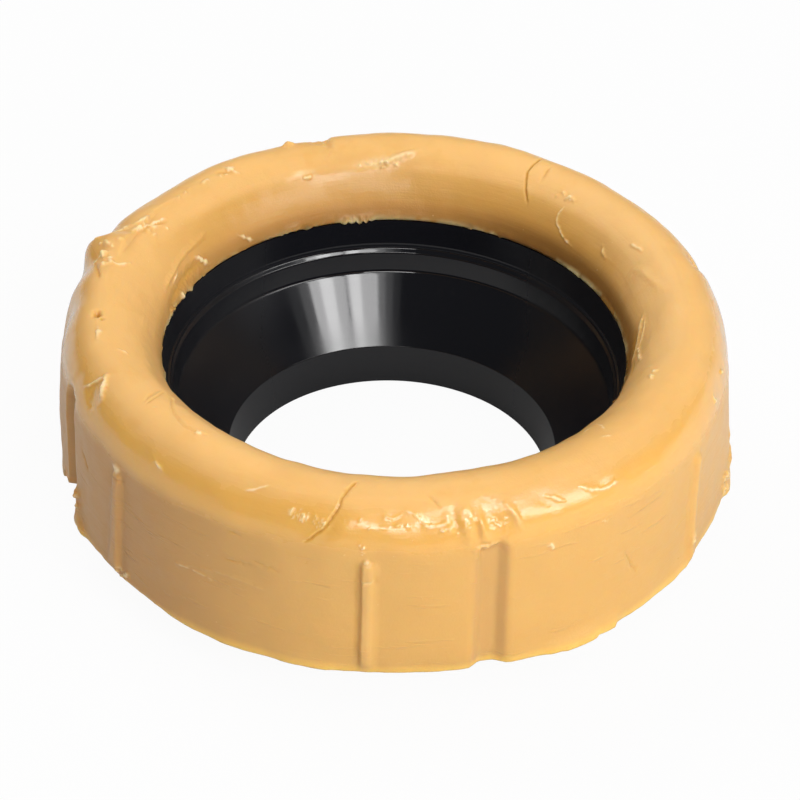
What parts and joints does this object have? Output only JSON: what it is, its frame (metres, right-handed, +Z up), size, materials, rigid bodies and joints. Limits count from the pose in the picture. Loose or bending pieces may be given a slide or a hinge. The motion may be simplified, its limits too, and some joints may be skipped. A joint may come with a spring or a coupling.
{
  "type": "toilet pan seal",
  "caption": "Thick moulded wax ring cast round a black plastic horn, pressed between a toilet pan's outlet and the drain's flange to seal the joint.",
  "frame": {"origin": "centre of the horn's lower end, on the surface that the seal stands on", "axes": "+Z up along the axis of the ring and the horn, -Y towards the front of the picture"},
  "size_m": [0.1404, 0.141, 0.0478],
  "materials": {
    "wax": "honey-coloured petroleum wax, greasy satin sheen, with folds, cracks and torn edges",
    "black_plastic": "black polyethylene, glossy, with fine turned lines"
  },
  "bodies": {
    "root": {"wax_ring": "wax", "horn_sleeve": "black_plastic"}
  },
  "joints": []
}
